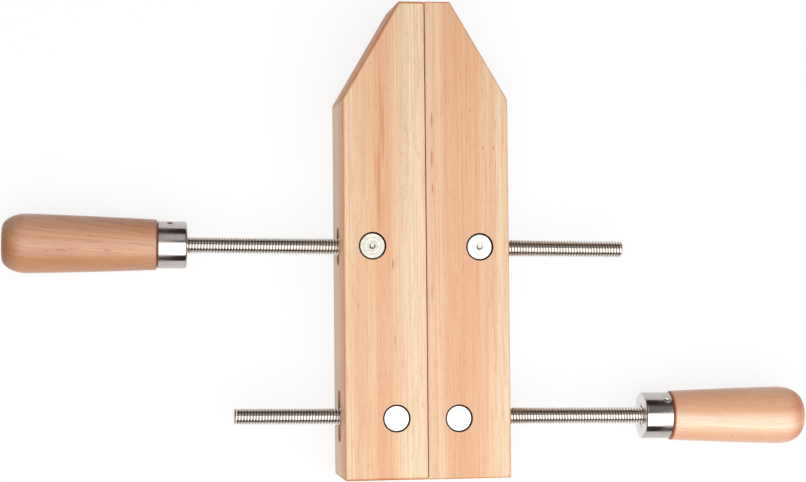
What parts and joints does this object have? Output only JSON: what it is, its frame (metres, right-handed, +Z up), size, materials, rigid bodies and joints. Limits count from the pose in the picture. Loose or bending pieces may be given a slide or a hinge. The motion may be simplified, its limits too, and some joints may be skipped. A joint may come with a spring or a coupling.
{
  "type": "wooden handscrew clamp",
  "caption": "Wooden handscrew clamp with tapered maple jaws, threaded steel spindles in swivel nuts, and turned handles with steel ferrules.",
  "frame": {"origin": "on the surface that the clamp lies on, under the middle of the closed clamp's whole box", "axes": "+X square across the jaws, towards the handle of the end spindle; +Y from the jaws' heels to their noses; +Z up, across the jaws' depth. The two spindles lie along (0.999877, -0.015707, 0), 0.9 degrees from +X, as pictured"},
  "size_m": [0.436, 0.254, 0.0444],
  "materials": {
    "maple_jaw": "sanded and oiled hard maple, straight grain along the jaw",
    "maple_handle": "turned and lacquered hard maple, grain along the handle",
    "turned_steel": "turned end faces, bright",
    "plated_thread": "plated rolled thread",
    "polished_ferrule": "polished plated steel, drawn cup"
  },
  "bodies": {
    "left_jaw": {"left_jaw": "maple_jaw", "middle_nut_left": "turned_steel", "end_nut_left": "turned_steel"},
    "spindle_carriage": {"middle_ferrule": "polished_ferrule"},
    "middle_spindle": {"middle_spindle": "plated_thread", "middle_handle": "maple_handle"},
    "end_spindle": {"end_spindle": "plated_thread", "end_handle": "maple_handle", "end_ferrule": "polished_ferrule"},
    "right_jaw": {"right_jaw": "maple_jaw", "middle_nut_right": "turned_steel", "end_nut_right": "turned_steel"}
  },
  "joints": [
    {"name": "jaw_opening", "type": "slide", "parent": "left_jaw", "child": "right_jaw", "axis": [0.9999, -0.0157, 0], "range_m": [0, 0.1524]},
    {"name": "spindle_travel", "type": "slide", "parent": "left_jaw", "child": "spindle_carriage", "axis": [0.9999, -0.0157, 0], "range_m": [0, 0.0762]},
    {"name": "middle_handle_turn", "type": "hinge", "parent": "spindle_carriage", "child": "middle_spindle", "pos_m": [0.00435, -0.0035, 0.02223], "axis": [-0.9999, 0.0157, 0], "range_deg": [0, 17280]},
    {"name": "end_handle_turn", "type": "hinge", "parent": "spindle_carriage", "child": "end_spindle", "pos_m": [0.00435, -0.0947, 0.02223], "axis": [-0.9999, 0.0157, 0], "range_deg": [0, 17280]}
  ],
  "couplings": [
    {"joint": "spindle_travel", "follows": "jaw_opening", "ratio": 0.5},
    {"joint": "middle_handle_turn", "follows": "jaw_opening", "rad_per_m": 1979},
    {"joint": "end_handle_turn", "follows": "jaw_opening", "rad_per_m": 1979}
  ]
}
